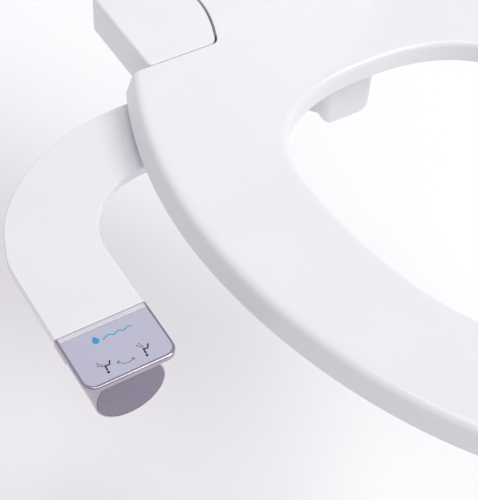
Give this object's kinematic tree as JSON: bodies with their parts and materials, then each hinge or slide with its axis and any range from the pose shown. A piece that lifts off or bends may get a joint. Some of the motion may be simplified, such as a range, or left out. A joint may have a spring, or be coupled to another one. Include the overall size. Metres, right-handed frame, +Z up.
{
  "type": "bidet seat",
  "caption": "White toilet seat and lid over a slim water-powered bidet attachment: curved side arm with a chrome panel and dial, hinged nozzle guard and sliding nozzles.",
  "frame": {"origin": "midway between the two seat bolts, on the underside of the base plate, the face that rests on the bowl", "axes": "+Z up along the seat bolts, -Y towards the front of the seat, -X towards the control arm (the seated user's right)"},
  "size_m": [0.5022, 0.683, 0.5898],
  "materials": {
    "seat_plastic": "gloss moulded",
    "lid_plastic": "gloss moulded",
    "housing_plastic": "gloss moulded",
    "arm_plastic": "satin moulded",
    "guard_plastic": "gloss moulded",
    "nozzle_plastic": "gloss moulded",
    "grey_plastic": "fine textured",
    "black_plastic": "fine textured",
    "nylon": "natural nylon",
    "rubber": "soft grey rubber",
    "clear_tube": "milky flexible tube",
    "clear_strip": "clear polished",
    "steel": "stainless",
    "brass": "machined",
    "chrome": "polished chrome plate",
    "dial_chrome": "polished chrome plate",
    "panel_silver": "lavender silver, printed symbols",
    "dial_silver": "mauve grey, fine circular brushing",
    "ceramic": "lapped alumina"
  },
  "bodies": {
    "attachment": {"hinge_housing_left": "housing_plastic", "hinge_housing_right": "housing_plastic", "hinge_foot_left": "grey_plastic", "hinge_foot_right": "grey_plastic", "hinge_shaft_left": "steel", "hinge_shaft_right": "steel", "damper_left": "black_plastic", "damper_right": "black_plastic", "shaft_clip_left": "steel", "shaft_clip_right": "steel", "mount_bolt_left": "steel", "mount_bolt_right": "steel", "head_washer_left": "steel", "head_washer_right": "steel", "adjuster_left": "grey_plastic", "adjuster_right": "grey_plastic", "cone_washer_left": "rubber", "cone_washer_right": "rubber", "mount_nut_left": "nylon", "mount_nut_right": "nylon", "base_plate": "arm_plastic", "top_cover": "arm_plastic", "valve_cover": "arm_plastic", "nozzle_cassette": "arm_plastic", "cover_screws": "steel", "tube_rear": "clear_tube", "tube_front": "clear_tube", "panel_bezel": "chrome", "panel_face": "panel_silver", "panel_strip": "clear_strip", "valve_body": "brass", "valve_bonnet": "brass", "stem_seal": "rubber", "inlet_filter": "steel", "check_valve": "black_plastic", "disc_fixed": "ceramic", "spring_rear": "steel", "spring_front": "steel", "guard_pin": "steel"},
    "dial": {"dial_knob": "dial_chrome", "dial_face": "dial_silver", "valve_stem": "brass", "disc_turning": "ceramic"},
    "rear_nozzle": {"nozzle_rear": "nozzle_plastic", "nozzle_rear_tip": "nozzle_plastic"},
    "front_nozzle": {"nozzle_front": "nozzle_plastic", "nozzle_front_tip": "nozzle_plastic"},
    "guard": {"nozzle_guard": "guard_plastic"},
    "seat": {"seat_shell": "seat_plastic", "seat_base": "seat_plastic", "seat_bush_left": "nylon", "seat_bush_right": "nylon", "seat_bumpers": "rubber"},
    "lid": {"lid_shell": "lid_plastic", "lid_arm": "lid_plastic", "lid_bumpers": "rubber"}
  },
  "joints": [
    {"name": "seat_hinge", "type": "hinge", "parent": "attachment", "child": "seat", "pos_m": [0, 0.052, 0.02], "axis": [-1, 0, 0], "range_deg": [0, 93]},
    {"name": "lid_hinge", "type": "hinge", "parent": "attachment", "child": "lid", "pos_m": [0, 0.052, 0.02], "axis": [-1, 0, 0], "range_deg": [-104, 0]},
    {"name": "dial_turn", "type": "hinge", "parent": "attachment", "child": "dial", "pos_m": [-0.2723, -0.218, -0.0215], "axis": [0, -1, 0], "range_deg": [-90, 90]},
    {"name": "rear_nozzle_slide", "type": "slide", "parent": "attachment", "child": "rear_nozzle", "axis": [0, -0.5, -0.866], "range_m": [0, 0.027], "stiffness_N_per_m": 40, "springref_m": -0.006, "deforming": ["spring_rear"]},
    {"name": "front_nozzle_slide", "type": "slide", "parent": "attachment", "child": "front_nozzle", "axis": [0, -0.5, -0.866], "range_m": [0, 0.027], "stiffness_N_per_m": 40, "springref_m": -0.006, "deforming": ["spring_front"]},
    {"name": "guard_swing", "type": "hinge", "parent": "attachment", "child": "guard", "pos_m": [0, -0.069, 0.004], "axis": [-1, 0, 0], "range_deg": [0, 70]}
  ]
}
